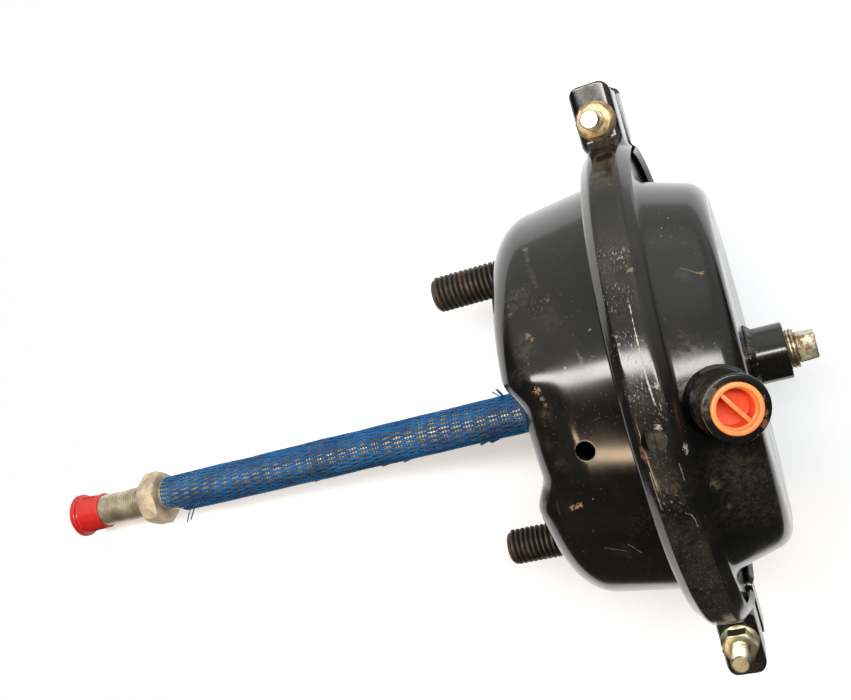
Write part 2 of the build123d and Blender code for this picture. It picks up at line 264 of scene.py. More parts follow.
def node(tree, kind, sockets=None, **settings):     # sockets are set, or linked to another node's output
    made = tree.nodes.new("ShaderNode" + kind)
    made.location = (220 * (len(tree.nodes) % 12), -260 * (len(tree.nodes) // 12))
    for key, value in settings.items():
        setattr(made, key, value)
    for key, value in (sockets or {}).items():
        if isinstance(value, bpy.types.NodeSocket):
            tree.links.new(value, made.inputs[key])
        else:
            made.inputs[key].default_value = value
    return made


def maths(tree, operation, a, b=0.0, clamp=False):
    return node(tree, "Math", {0: a, 1: b}, operation=operation, use_clamp=clamp).outputs[0]


def times(tree, first, *others):
    for other in others:
        first = maths(tree, "MULTIPLY", first, other)
    return first


def vectorMaths(tree, operation, a, b=(0, 0, 0)):
    made = node(tree, "VectorMath", {0: a, 1: b}, operation=operation)
    return made.outputs["Value" if operation in ("DISTANCE", "DOT_PRODUCT") else "Vector"]


def rise(tree, value, low, high):       # 0 below low, 1 above high, soft between
    sockets = {"Value": value, "From Min": low, "From Max": high}
    return node(tree, "MapRange", sockets, interpolation_type="SMOOTHSTEP").outputs[0]


def blended(tree, share, a, b):
    return node(tree, "Mix", {0: share, 6: a, 7: b}, data_type="RGBA").outputs[2]


def levels(tree, share, a, b):
    return node(tree, "Mix", {0: share, 2: a, 3: b}).outputs[0]


def cloud(tree, vector, scale, detail, roughness=0.5):
    sockets = {"Vector": vector, "Scale": scale, "Detail": detail, "Roughness": roughness}
    return node(tree, "TexNoise", sockets).outputs["Fac"]


def grouped(name, inputs, results):     # a shader group with its named sockets; all take a Vector
    group = bpy.data.node_groups.new(name, "ShaderNodeTree")
    for label, value in {"Vector": None, **inputs}.items():
        kind = "Float" if isinstance(value, float) else "Vector"
        socket = group.interface.new_socket(name=label, in_out="INPUT", socket_type="NodeSocket" + kind)
        if value is not None:
            socket.default_value = value
    for label in results:
        kind = "Color" if label == "Color" else "Float"
        group.interface.new_socket(name=label, in_out="OUTPUT", socket_type="NodeSocket" + kind)
    return group, group.nodes.new("NodeGroupInput").outputs, group.nodes.new("NodeGroupOutput").inputs


def patchGroup():       # ragged patches; Stretch draws them out into streaks
    inputs = {"Scale": 40.0, "Stretch": (1, 1, 1), "Low": 0.55, "High": 0.65}
    group, given, result = grouped("patches", inputs, ["Mask"])
    stretched = vectorMaths(group, "MULTIPLY", given["Vector"], given["Stretch"])
    tone = cloud(group, stretched, given["Scale"], 5.0, 0.62)
    group.links.new(rise(group, tone, given["Low"], given["High"]), result["Mask"])
    return group


def spotGroup():        # one worn spot with a ragged rim
    group, given, result = grouped("spot", {"Centre": (0, 0, 0), "Radius": 0.004}, ["Mask"])
    away = vectorMaths(group, "DISTANCE", given["Vector"], given["Centre"])
    share = maths(group, "DIVIDE", away, given["Radius"])
    ragged = maths(group, "SUBTRACT", cloud(group, given["Vector"], 1500.0, 4.0, 0.6), 0.5)
    mask = rise(group, maths(group, "ADD", share, times(group, ragged, 4.0)), 1.0, 0.62)
    group.links.new(mask, result["Mask"])
    return group


def scratchGroup():     # a broken line from Start to End
    inputs = {"Start": (0, 0, 0), "End": (0, 0, 0.01), "Width": 0.0004}
    group, given, result = grouped("scratch", inputs, ["Mask"])
    run = vectorMaths(group, "SUBTRACT", given["End"], given["Start"])
    off = vectorMaths(group, "SUBTRACT", given["Vector"], given["Start"])
    along = maths(group, "DIVIDE", vectorMaths(group, "DOT_PRODUCT", off, run),
                  vectorMaths(group, "DOT_PRODUCT", run, run), clamp=True)
    reach = node(group, "VectorMath", {0: run, "Scale": along}, operation="SCALE").outputs["Vector"]
    away = maths(group, "DIVIDE", vectorMaths(group, "DISTANCE", off, reach), given["Width"])
    gaps = maths(group, "SUBTRACT", cloud(group, given["Vector"], 900.0, 3.0), 0.45)
    mask = rise(group, maths(group, "ADD", away, times(group, gaps, 1.8)), 1.0, 0.35)
    group.links.new(mask, result["Mask"])
    return group


def rustGroup():        # browns that run from dark scale to pale dust
    group, given, result = grouped("rust", {"Scale": 300.0}, ["Color", "Height"])
    tone = cloud(group, given["Vector"], given["Scale"], 6.0, 0.65)
    ramp = node(group, "ValToRGB", {"Fac": tone})
    stops = ramp.color_ramp.elements
    stops[0].position, stops[0].color = 0.32, (0.030, 0.017, 0.010, 1)
    stops[1].position, stops[1].color = 0.72, (0.36, 0.24, 0.15, 1)
    stops.new(0.5).color = (0.16, 0.075, 0.033, 1)
    group.links.new(ramp.outputs["Color"], result["Color"])
    group.links.new(tone, result["Height"])
    return group


def grainGroup():       # fine surface relief and its change of gloss
    inputs = {"Scale": 500.0, "Rough Low": 0.3, "Rough High": 0.5}
    group, given, result = grouped("grain", inputs, ["Height", "Roughness"])
    broad = rise(group, cloud(group, given["Vector"], 42.0, 4.0), 0.3, 0.72)
    group.links.new(cloud(group, given["Vector"], given["Scale"], 3.0), result["Height"])
    group.links.new(levels(group, broad, given["Rough Low"], given["Rough High"]), result["Roughness"])
    return group


groups = {"patches": patchGroup(), "spot": spotGroup(), "scratch": scratchGroup(), "rust": rustGroup(),
          "grain": grainGroup()}


def use(tree, name, sockets):
    return node(tree, "Group", sockets, node_tree=groups[name]).outputs


def patches(tree, place, scale, low, high, stretch=(1, 1, 1)):
    sockets = {"Vector": place, "Scale": scale, "Stretch": stretch, "Low": low, "High": high}
    return use(tree, "patches", sockets)["Mask"]


def grained(tree, place, scale, roughLow, roughHigh):
    sockets = {"Vector": place, "Scale": scale, "Rough Low": roughLow, "Rough High": roughHigh}
    return use(tree, "grain", sockets)


def newMaterial(name, **constants):     # constants go on the shader's own sockets
    material = bpy.data.materials.new(name)
    material.use_nodes = True
    tree = material.node_tree
    shader = tree.nodes["Principled BSDF"]
    for key, value in constants.items():
        shader.inputs[key.replace("_", " ")].default_value = value
    return material, tree, shader, node(tree, "TexCoord").outputs["Object"]


def feed(tree, shader, colour, roughness, height, bump, metallic=None):     # bump is (strength, distance)
    strength, distance = bump
    relief = node(tree, "Bump", {"Height": height, "Strength": strength, "Distance": distance})
    wires = {"Base Color": colour, "Roughness": roughness, "Normal": relief.outputs[0], "Metallic": metallic}
    for label, value in wires.items():
        if value is not None:
            tree.links.new(value, shader.inputs[label])


# Black paint on the housings, ring and bosses. Marks are in millimetres, in the part's own frame:
# a spot is (x, y, z, radius, strength) under its kind, a scratch is (start, end, width, kind, strength).

markColours = {
    "ticks": (0.26, 0.245, 0.21, 1),       # a field of short bright scratches
    "copper": (0.21, 0.115, 0.068, 1),
    "tan": (0.15, 0.115, 0.072, 1),
    "pale": (0.36, 0.34, 0.30, 1),
    "dust": (0.060, 0.050, 0.036, 1),      # a field of fine scuffs, not a chip
    "rust": (0.105, 0.045, 0.020, 1),
    "grimeAndShade": (0.050, 0.036, 0.022, 1),     # painted shade where the ring's hole looks onto the flanges, with dull dirt, covering all of its spot
}
frontMarks = {
    "ticks": ((-11, -51, 62.5, 7, 0.28), (-17, -56, 61, 6, 0.24), (-24, -50, 68, 7, 0.22),
        (-15, -33, 75.5, 6, 0.22), (-17.5, -15, 81, 4, 0.35), (-40, 35, 78, 9, 0.1)),
    "copper": ((-12.1, -49.1, 65, 1.2, 0.7), (-17.6, -41.2, 72.6, 1.2, 0.7), (-19, -39.6, 73.6, 0.8, 0.6),
        (-17, -21.7, 79.3, 1.5, 1), (-17.3, 23.2, 79.6, 1.1, 1), (-19, 23, 80, 1.1, 1),
        (-20.6, 22.7, 80.4, 1.1, 1), (-9.2, 36.8, 70.5, 0.9, 0.7), (-20, 48, -62, 2.2, 0.9)),
    "tan": ((-17.9, -18.6, 80.3, 0.9, 0.7), (-18.6, -16.2, 81, 0.8, 0.7), (-26, 21, 82.4, 0.5, 0.8),
        (-27.4, -51.6, 67.4, 0.9, 0.5), (-31, -48.6, 69.4, 0.6, 0.4), (-19.8, -70.5, 45, 1.3, 0.6)),
    "pale": ((-29.1, -27.6, 80.4, 0.5, 0.6), (-40.9, -38.3, 77.6, 0.6, 0.4)),
    "dust": ((-8, -45, 62, 7, 0.54), (-15, -38, 73.5, 8, 0.41), (-16.4, -53.9, 63.3, 8, 0.5),
        (-27, -45, 72, 7, 0.27), (-12, -28, 75, 6, 0.54), (-17, -12, 80.5, 5, 0.41),
        (-14.5, -2, 79, 5, 0.32), (-18, 6, 80, 5, 0.41), (-30.4, 46.1, 71.7, 8, 0.23),
        (-44, 4, -85.6, 8, 1)),
    "rust": ((-30, -40, -74, 2.6, 0.8),),
    # a dark spot on the flange under the ring's hole: painted shade in the hole, with grime
    "grimeAndShade": ((-54, 0, 97.5, 8, 1),),
    "scratches": (
        ((-19.3, -71.5, 43.7), (-20.6, -67, 51), 1.4, "dust", 0.8),
        ((-20.6, -67, 51), (-23.4, -57, 62.2), 1.6, "dust", 0.6),
        ((-23.2, 43.2, 72.4), (-30.4, 46.1, 71.7), 0.25, "pale", 0.35),
        ((-32.2, 42.8, 74), (-35.8, 48.1, 71.2), 0.25, "pale", 0.35),
        ((-22, 1, 83), (-25.5, 7.6, 82.5), 0.2, "pale", 0.3),
    ),
}
rearMarks = {
    "ticks": ((-78, 30, 74, 15, 0.14), (-74, -62, 49, 9, 0.1)),
    "copper": ((-82, -46, 62, 0.9, 0.9),),
    "tan": ((-80.6, -46.6, 62.1, 0.6, 0.8), (-71.1, -62, 51.7, 0.5, 0.6), (-68, 25.3, 77.7, 1.5, 0.75),
        (-69.2, 27.2, 76.7, 1.2, 0.6), (-70.7, 36.4, 72.2, 1.1, 0.5)),
    "pale": ((-71.7, -69.9, 40, 0.35, 0.6), (-71.9, -64.6, 48, 0.35, 0.6), (-74.6, -67.2, 42.6, 0.3, 0.5)),
    "dust": ((-76, -47.5, 63.6, 4.5, 0.8), (-73, 22, 77, 14, 0.6), (-83, 28, 71, 14, 0.5),
        (-71, 40, 70, 14, 0.45), (-81, 44, 62, 14, 0.45), (-79.4, 63.5, 45.3, 12, 0.4),
        (-70, -24, 78, 12, 0.25)),
    "rust": ((-87.4, -62, 10, 3.2, 0.8), (-88, -57, 26, 2.4, 0.8), (-88.4, -52.2, 38, 2.6, 0.7),
        (-72, -78, -18, 3, 0.7), (-88.6, 30, 58, 2, 0.7), (-88.6, 52, 40, 2.4, 0.7)),
    # a dark spot on the flange under the ring's hole: painted shade in the hole, with grime
    "grimeAndShade": ((-60.5, 0, 98.5, 9, 1),),
    "scratches": (
        ((-75.3, -49.8, 61.8), (-81.7, -46, 62.3), 0.4, "tan", 0.45),
        ((-70, 30, 74), (-76, 38, 69), 0.2, "pale", 0.3),
        ((-66, 44, 70), (-72, 47, 66), 0.2, "pale", 0.3),
    ),
}
ringMarks = {
    "ticks": ((-56, -62, 82, 8, 0.8), (-59, -60, 83.5, 4.5, 1), (-54.5, -48, 90.5, 8, 0.7),
        (-54, -32, 97.5, 8, 0.8), (-56, -18, 101, 8, 0.7), (-60, -10, 102, 5, 0.8),
        (-54.5, 22, 100.5, 8, 0.5), (-57.5, 60, 83.5, 10, 0.5), (-56, 75, 70, 9, 0.5)),
    "tan": ((-61.3, -55.8, 86.3, 1.1, 1), (-60.2, -62.8, 81.4, 0.7, 0.9)),
    "pale": ((-59, -60.5, 83.2, 0.6, 0.4), (-58, -4.6, 102.6, 1.1, 0.6), (-64.4, 4.5, 99.9, 1.2, 0.7),
        (-64.6, 6.4, 99.8, 0.9, 0.6), (-61, -18, 101.5, 1.2, 0.6)),
    "dust": ((-55.5, -98.5, 27, 8, 0.8), (-56, -101, 24, 6, 0.6), (-56.4, -121.5, 22.5, 6, 1.2),
        (-56.4, 118, 22.5, 5, 1.2), (-56, 60, 83, 14, 0.5), (-56, -64, 81, 13, 0.4),
        (-57, 18, 102, 12, 0.25), (-57, 38, 96, 13, 0.3), (-56, -88, 52, 8, 0.8)),
    "rust": ((-50.6, 4.4, 102.4, 1.5, 1), (-50.8, 1.8, 102.6, 1.2, 0.9), (-57, -119, -22.5, 4, 0.5)),
    "scratches": (
        ((-58.4, -45.1, 92.4), (-58.3, -34, 97), 0.3, "pale", 1.3),
        ((-58.3, -34, 97), (-58.3, -22.8, 100.2), 0.42, "pale", 1.3),
        ((-58.3, -22.8, 100.2), (-58.9, -12, 102.3), 0.4, "pale", 1),
        ((-60.8, -22, 100.2), (-61.2, -12, 101.6), 0.35, "pale", 0.6),
        ((-58.5, 26.9, 99.2), (-60.3, 28.1, 98.8), 0.22, "pale", 0.5),
        ((-60.3, 28.1, 98.8), (-61, 30.2, 98.2), 0.22, "pale", 0.5),
        ((-61, 30.2, 98.2), (-61.1, 33.2, 97.2), 0.22, "pale", 0.4),
        ((-51.2, 10, 102.3), (-51.4, 24, 100), 0.35, "pale", 0.4),
        ((-61.4, 9, 102.4), (-61.5, 15, 101.7), 0.3, "pale", 0.35),
    ),
}
bossMarks = {
    "tan": ((-85, 10, 96, 1, 0.7),),
    "dust": ((-74.8, -9.1, 96.8, 9, 1.6), (-72.1, -11.2, 86.8, 8, 1.6), (-70.8, -1, 91, 8, 1.4)),
    "rust": ((-91.5, -4.5, 93.6, 1.5, 1), (-91.6, 0.5, 94, 1.3, 1), (-90.9, 4.2, 94.1, 1.5, 1),
        (-88, 8, 95, 1.2, 0.9)),
}
rearBossMarks = {
    "tan": ((-90, -6, 12.6, 3, 0.5),),
    "dust": ((-90, 8, 12, 4, 1),),
    "rust": ((-90, -13, 3, 4, 0.6),),
}
paint = {"clean": (0.0036, 0.0036, 0.0036, 1), "filmed": (0.0135, 0.012, 0.0095, 1),
         "speck": (0.11, 0.10, 0.08, 1), "hair": (0.075, 0.070, 0.060, 1), "rubbed": (0.21, 0.195, 0.16, 1),
         "roughness": (0.10, 0.17), "wornRoughness": 0.62, "bump": (0.12, 0.00005)}
# the vent, with a painted highlight: a thin pale ring on its rim
vent = {"x": -28.8, "y": 2.4, "radius": 3.6, "highlightOffset": 0.3, "highlightWidth": 0.26, "highlightShare": 0.42}


def over(tree, under, mask, colour):        # a layer on top of the colour and the wear so far
    return blended(tree, mask, under[0], colour), maths(tree, "MAXIMUM", under[1], mask)


def blackPaint(name, marks, specksFrom=0.62, crest=0, hole=None):
    # past the crest's radius the band's paint is rubbed; round the hole a thin pale ring is a painted
    # highlight on its rim
    material, tree, shader, place = newMaterial(name, IOR=1.5)

    def patch(*values):
        return patches(tree, place, *values)

    grain = grained(tree, place, 900, *paint["roughness"])
    film = patch(26, 0.40, 0.78)
    specks = times(tree, patch(1000, specksFrom, specksFrom + 0.07), patch(38, 0.44, 0.66), 0.40)
    hairs = times(tree, patch(240, 0.66, 0.70, (1.0, 0.10, 1.6)), film, 0.8)
    lumps = patch(420, 0.30, 0.72)
    scuffs = times(tree, levels(tree, patch(2300, 0.50, 0.78), 0.7, 3.0), lumps)
    ticks = patch(1300, 0.575, 0.64, (1.1, 0.45, 0.7))
    clean = blended(tree, times(tree, film, 0.8), paint["clean"], paint["filmed"])
    coat = blended(tree, specks, clean, paint["speck"]), specks
    coat = over(tree, coat, hairs, paint["hair"])
    if crest:
        radius = vectorMaths(tree, "DISTANCE", vectorMaths(tree, "MULTIPLY", place, (0, 1, 1)))
        top = rise(tree, radius, crest * mm, (crest + 0.9) * mm)
        flecks = maths(tree, "ADD", patch(1100, 0.60, 0.72, (1.7, 0.9, 0.9)), 0.08)
        coat = over(tree, coat, times(tree, top, patch(34, 0.44, 0.64), flecks), paint["rubbed"])
    # a thin pale ring round the vent: a painted highlight on the hole's rim
    if hole:
        flat = vectorMaths(tree, "MULTIPLY", place, (1, 1, 0))
        away = vectorMaths(tree, "DISTANCE", flat, (hole["x"] * mm, hole["y"] * mm, 0))
        off = maths(tree, "SUBTRACT", away, (hole["radius"] + hole["highlightOffset"]) * mm)
        edge = rise(tree, maths(tree, "ABSOLUTE", off), hole["highlightWidth"] * mm, hole["highlightWidth"] / 2 * mm)
        coat = over(tree, coat, times(tree, edge, lumps, hole["highlightShare"]), markColours["pale"])

    # the share of its radius in which each field is full, and its texture
    # the field for the spots under the ring's hole is painted shade, mottled like grime
    fields = {"dust": (0.2, scuffs), "ticks": (0.3, ticks), "grimeAndShade": (0.7, levels(tree, lumps, 0.3, 1.0))}
    for kind in markColours:
        for *centre, radius, share in marks.get(kind, ()):
            middle = [c * mm for c in centre]
            if kind in fields:
                core, texture = fields[kind]
                away = maths(tree, "DIVIDE", vectorMaths(tree, "DISTANCE", place, middle), radius * mm)
                mask = times(tree, rise(tree, away, 1.0, core), texture)
            else:
                mask = use(tree, "spot", {"Vector": place, "Centre": middle, "Radius": radius * mm})["Mask"]
            coat = over(tree, coat, maths(tree, "MULTIPLY", mask, share, clamp=True), markColours[kind])
    for start, end, width, kind, share in marks.get("scratches", ()):
        mask = use(tree, "scratch", {"Vector": place, "Start": [c * mm for c in start],
                                     "End": [c * mm for c in end], "Width": width * mm})["Mask"]
        if kind == "dust":
            mask = times(tree, mask, scuffs)
        coat = over(tree, coat, maths(tree, "MULTIPLY", mask, share, clamp=True), markColours[kind])

    colour, worn = coat
    rough = levels(tree, worn, grain["Roughness"], paint["wornRoughness"])
    height = maths(tree, "SUBTRACT", times(tree, grain["Height"], 0.30), worn)
    filmed = levels(tree, film, rough, maths(tree, "ADD", rough, 0.04))
    feed(tree, shader, colour, filmed, height, paint["bump"])
    return material


def plainMetal(name, colour, darker, roughness, grit, rustShare, metallic=1.0):
    # a plated or bare metal with darker grime in patches and some rust
    material, tree, shader, place = newMaterial(name, Metallic=metallic)
    grain = grained(tree, place, grit, roughness, roughness + 0.18)
    rust = use(tree, "rust", {"Vector": place, "Scale": grit * 0.5})["Color"]
    grimeAndShade = patches(tree, place, grit * 0.35, 0.40, 0.66)
    bitten = patches(tree, place, grit * 0.5, 0.68 - 0.3 * rustShare, 0.76 - 0.2 * rustShare)
    base = blended(tree, grimeAndShade, (*colour, 1), (*darker, 1))
    feed(tree, shader, blended(tree, bitten, base, rust), levels(tree, bitten, grain["Roughness"], 0.75),
         maths(tree, "ADD", grain["Height"], bitten), (0.2, 0.00008))
    return material


def studSteel(name):        # brown-black phosphate, rustier at the tip
    material, tree, shader, place = newMaterial(name)
    grain = grained(tree, place, 900, 0.38, 0.58)
    rust = use(tree, "rust", {"Vector": place, "Scale": 420})
    tip = rise(tree, node(tree, "SeparateXYZ", {0: place}).outputs["X"], 0.0295, 0.0345)
    bloom = times(tree, patches(tree, place, 190, 0.50, 0.68), 0.35)
    share = maths(tree, "MAXIMUM", bloom, times(tree, tip, 0.5))
    feed(tree, shader, blended(tree, share, (0.036, 0.031, 0.024, 1), rust["Color"]), grain["Roughness"],
         rust["Height"], (0.25, 0.0001), maths(tree, "SUBTRACT", 0.55, times(tree, share, 0.5)))
    return material


def mouldedPlastic(name, colour, deeper, roughness, rim=None):
    # rim is (axis, start, end): along that axis the plastic turns lighter between start and end
    material, tree, shader, place = newMaterial(
        name, IOR=1.49, Subsurface_Weight=0.08, Subsurface_Scale=0.004, Coat_Weight=0.15)
    grain = grained(tree, place, 1400, roughness, roughness + 0.12)
    share = times(tree, patches(tree, place, 130, 0.35, 0.75), 0.5)
    if rim:
        axis, start, end = rim
        height = vectorMaths(tree, "DOT_PRODUCT", place, axis)
        share = maths(tree, "MAXIMUM", share, rise(tree, height, end * mm, start * mm))
    dust = times(tree, patches(tree, place, 900, 0.66, 0.74), 0.3)
    base = blended(tree, share, colour, deeper)
    feed(tree, shader, blended(tree, dust, base, (0.25, 0.12, 0.07, 1)), grain["Roughness"],
         grain["Height"], (0.12, 0.00005))
    return material


def blueYarn(name):         # polyester monofilament, dusty in places
    material, tree, shader, place = newMaterial(name, Specular_IOR_Level=0.28)
    fibre = grained(tree, place, 1500, 0.42, 0.62)
    tone = patches(tree, place, 150, 0.34, 0.70, (0.35, 1, 1))
    dust = times(tree, patches(tree, place, 55, 0.56, 0.72), 0.12)
    base = blended(tree, tone, (0.0010, 0.042, 0.138, 1), (0.0015, 0.108, 0.31, 1))
    feed(tree, shader, blended(tree, dust, base, (0.07, 0.13, 0.20, 1)), fibre["Roughness"],
         fibre["Height"], (0.3, 0.0001))
    return material


def blackRubber(name):      # fabric shows through it, with a brown bloom
    material, tree, shader, place = newMaterial(name, Sheen_Weight=0.08)
    grain = grained(tree, place, 700, 0.58, 0.74)
    bloom = times(tree, patches(tree, place, 420, 0.36, 0.62), 0.9)
    weave = node(tree, "TexVoronoi", {"Vector": place, "Scale": 900}).outputs["Distance"]
    feed(tree, shader, blended(tree, bloom, (0.012, 0.011, 0.010, 1), (0.062, 0.044, 0.026, 1)),
         grain["Roughness"], weave, (0.25, 0.0001))
    return material


sidePort = {"lean": 17.9, "clocking": 2.0, "x": -77.7, "axisHeight": 78.6, "height": 18.6, "radius": 11.8,
            "bore": 8.3, "chamfer": 0.8, "weld": 1.6}
turnAbout = Matrix.Rotation(radians(sidePort["clocking"]), 3, "X")
portAxis = turnAbout @ Vector((-sin(radians(sidePort["lean"])), 0, cos(radians(sidePort["lean"]))))
plugTop = Vector((sidePort["x"], 0, sidePort["axisHeight"])).dot(portAxis) + sidePort["height"]
plugRim = (portAxis, plugTop - 2.5, plugTop + 0.2)
metals = {      # colour, darker colour, roughness, scale of the grit, share of rust, metallic
    "yellowZinc": ((0.49, 0.40, 0.255), (0.31, 0.19, 0.08), 0.35, 700, 0.45),
    "boltZinc": ((0.84, 0.80, 0.68), (0.58, 0.50, 0.36), 0.30, 420, 0.1),
    "wornBoltZinc": ((0.56, 0.54, 0.40), (0.26, 0.23, 0.15), 0.34, 600, 0.25),
    "wornNutZinc": ((0.42, 0.40, 0.27), (0.23, 0.20, 0.12), 0.36, 700, 0.2),
    "oliveZinc": ((0.66, 0.62, 0.48), (0.27, 0.19, 0.10), 0.34, 900, 0.6),
    "greyZinc": ((0.66, 0.56, 0.40), (0.40, 0.33, 0.24), 0.50, 380, 0.15, 0.6),
    "rodZinc": ((0.60, 0.55, 0.43), (0.36, 0.31, 0.24), 0.34, 300, 0.1, 0.85),
    "plainSteel": ((0.45, 0.44, 0.42), (0.22, 0.21, 0.20), 0.36, 180, 0.2),
    "springSteel": ((0.16, 0.16, 0.17), (0.07, 0.07, 0.07), 0.34, 300, 0.15),
}
finishes = {
    "frontPaint": blackPaint("frontPaint", frontMarks, hole=vent),
    "rearPaint": blackPaint("rearPaint", rearMarks, specksFrom=0.60),
    "ringPaint": blackPaint("ringPaint", ringMarks, crest=101.6),
    "bossPaint": blackPaint("bossPaint", bossMarks),
    "rearBossPaint": blackPaint("rearBossPaint", rearBossMarks),
    "studSteel": studSteel("studSteel"),
    "orangePlastic": mouldedPlastic("orangePlastic", (0.94, 0.29, 0.085, 1), (0.74, 0.085, 0.022, 1), 0.32,
                                    plugRim),
    "redPlastic": mouldedPlastic("redPlastic", (0.54, 0.020, 0.016, 1), (0.40, 0.008, 0.008, 1), 0.24),
    "blueYarn": blueYarn("blueYarn"),
    "blackRubber": blackRubber("blackRubber"),
}
for metal, values in metals.items():
    finishes[metal] = plainMetal(metal, *values)
print("stage: materials made,", len(finishes))


# The two housings

chamberMiddle = (-60, 0, 0)
frontShell = {"wall": 2.8, "rootRadius": 88, "draft": 7.2, "rootFillet": 5, "shoulder": 17,
              "faceRise": 0.8, "rodHole": 16, "facet": 2.6, "around": 216, "burr": 0.45}
valley = {"depth": 6, "height": 77.5, "fadeX": -26, "half": 13.5, "soft": 13, "shoulder": 20}
studPad = {"offset": 60.32, "half": 12, "soft": 6.5, "hole": 8.7}


def frontHousing():
    low, high = span("non_pressure_housing")
    flangeX = low.x + frontShell["wall"]
    faceX, fadeX = -frontShell["faceRise"], valley["fadeX"]
    slope = tan(radians(frontShell["draft"]))

    def sideRadius(x):
        return frontShell["rootRadius"] - (x - flangeX) * slope

    def outline(endX, endHeight, shoulder):
        return rounded([(flangeX, high.y, 0), (flangeX, frontShell["rootRadius"], frontShell["rootFillet"]),
                        (fadeX, sideRadius(fadeX), 0), (endX, endHeight, shoulder),
                        (endX, frontShell["rodHole"], 0)], steps=12)

    plain = outline(faceX, sideRadius(faceX), frontShell["shoulder"])
    pressed = outline(-valley["depth"], valley["height"], valley["shoulder"])
    pairs = []
    for i in range(len(plain) - 1):
        pieces = max(1, ceil((plain[i + 1] - plain[i]).length / frontShell["facet"]))
        pairs += [(plain[i].lerp(plain[i + 1], k / pieces), pressed[i].lerp(pressed[i + 1], k / pieces))
                  for k in range(pieces)]
    pairs.append((plain[-1], pressed[-1]))

    def place(u, v):        # sunk in the valley between the studs, and flat where they stand
        a, b = pairs[round(v * (len(pairs) - 1))]
        y, z = cos(u * fullTurn), sin(u * fullTurn)
        sunk = 1 - ease((abs(y * a.y) - valley["half"]) / valley["soft"])
        x, r = a.lerp(b, sunk)
        off = hypot(abs(y * r) - studPad["offset"], z * r)
        flat = 1 - ease((off - studPad["half"]) / studPad["soft"])
        return mix(x, 0, flat), y * r, z * r

    bm = bmesh.new()
    wrap(bm, frontShell["around"], len(pairs) - 1, place)
    tidy(bm, chamberMiddle)
    shell = walled(objectFrom(bm, "frontHousingShell"), frontShell["wall"])
    x, y, stud = vent["x"], vent["y"], studPad["offset"]
    holes = [((x, y, side * 60), (x, y, side * 110), vent["radius"]) for side in (-1, 1)]
    holes += [((-9, side * stud, 0), (6, side * stud, 0), studPad["hole"]) for side in (-1, 1)]
    drilled(shell, holes)
    bevelled(shell, frontShell["burr"], segments=1)
    finished(shell, "frontPaint", "chamber", "black_paint", "non_pressure_housing")


rearShell = {"wall": 2.8, "flangeX": -62.5, "rootRadius": 83.5, "draft": 17.9, "rootFillet": 5,
             "corner": 10, "portHole": 8.3, "facet": 4, "around": 180}


def rearRadius(x):      # of the rear shell's outside
    return rearShell["rootRadius"] - (rearShell["flangeX"] - x) * tan(radians(rearShell["draft"]))


def rearHousing():
    low, high = span("pressure_housing")
    flangeX, hole = rearShell["flangeX"], rearShell["portHole"]
    outline = rounded([(flangeX, high.y, 0), (flangeX, rearShell["rootRadius"], rearShell["rootFillet"]),
                       (low.x, rearRadius(low.x), rearShell["corner"]), (low.x, hole, 0)], steps=12)
    fine = []
    for a, b in zip(outline, outline[1:]):
        pieces = max(1, ceil((b - a).length / rearShell["facet"]))
        fine += [a.lerp(b, k / pieces) for k in range(pieces)]
    bm = bmesh.new()
    lathe(bm, fine + outline[-1:], steps=rearShell["around"], closed=False)
    tidy(bm, chamberMiddle)
    shell = walled(objectFrom(bm, "rearHousingShell"), rearShell["wall"])
    drilled(shell, [(portBase - 12 * portAxis, portBase + 12 * portAxis, hole)])
    finished(shell, "rearPaint", "chamber", "black_paint", "pressure_housing")


portBase = turnAbout @ Vector((sidePort["x"], 0, rearRadius(sidePort["x"])))
frontHousing()
rearHousing()
print("stage: housings made")


# The clamp ring: two halves of V band whose ends bend out into channel ears

ring = {"x": -56.4, "crest": 102.8, "lip": 98, "crestHalf": 5.5, "lipHalf": 9.8, "wall": 2.6,
        "fillet": 2.75, "split": 5, "hole": 4.4, "holeX": -55.4, "steps": 300, "edge": 0.45}
ear = {"half": 8.3, "seat": 22.5, "reach": 125.5, "fillet": 3.4, "endRound": 4.5, "bend": 4.5,
       "lipBend": 3, "parting": 58, "boltOffset": 110.8, "boltHole": 4.4, "widenFrom": 0.72,
       "widenRun": 0.13}
bandStops = (0.60, 0.74, 0.86)      # on the run: crest and lip part, then they bend, then the ear starts


def bandRun(t, radius, level, bend, reach):
    # (y, z) along the band: round the chamber, through the bend, then out along the ear
    part, turnIn, straight = bandStops
    yBend = sqrt((radius + bend) ** 2 - (level + bend) ** 2)
    turn, common = atan2(yBend, level + bend), radians(ear["parting"])
    if t <= turnIn:
        angle = common * t / part if t <= part else mix(common, turn, (t - part) / (turnIn - part))
        return Vector((radius * sin(angle), radius * cos(angle)))
    if t <= straight:
        angle = turn * (1 - (t - turnIn) / (straight - turnIn))
        return Vector((yBend - bend * sin(angle), level + bend - bend * cos(angle)))
    return Vector((mix(yBend, reach, (t - straight) / (1 - straight)), level))


def bandSection(grown, drop):       # (x, fall) across the band, from lip to lip
    crestHalf, lipHalf = (mix(ring[size], ear["half"], grown) for size in ("crestHalf", "lipHalf"))
    fillet = mix(ring["fillet"], ear["fillet"], grown)
    lip, *arc, middle = rounded([(-lipHalf, drop, 0), (-crestHalf, 0, fillet), (0, 0, 0)])
    left = [lip.lerp(arc[0], k / 3) for k in range(3)] + arc
    left += [arc[-1].lerp(middle, k / 3) for k in range(1, 4)]
    return left + [Vector((-p.x, p.y)) for p in reversed(left[:-1])]


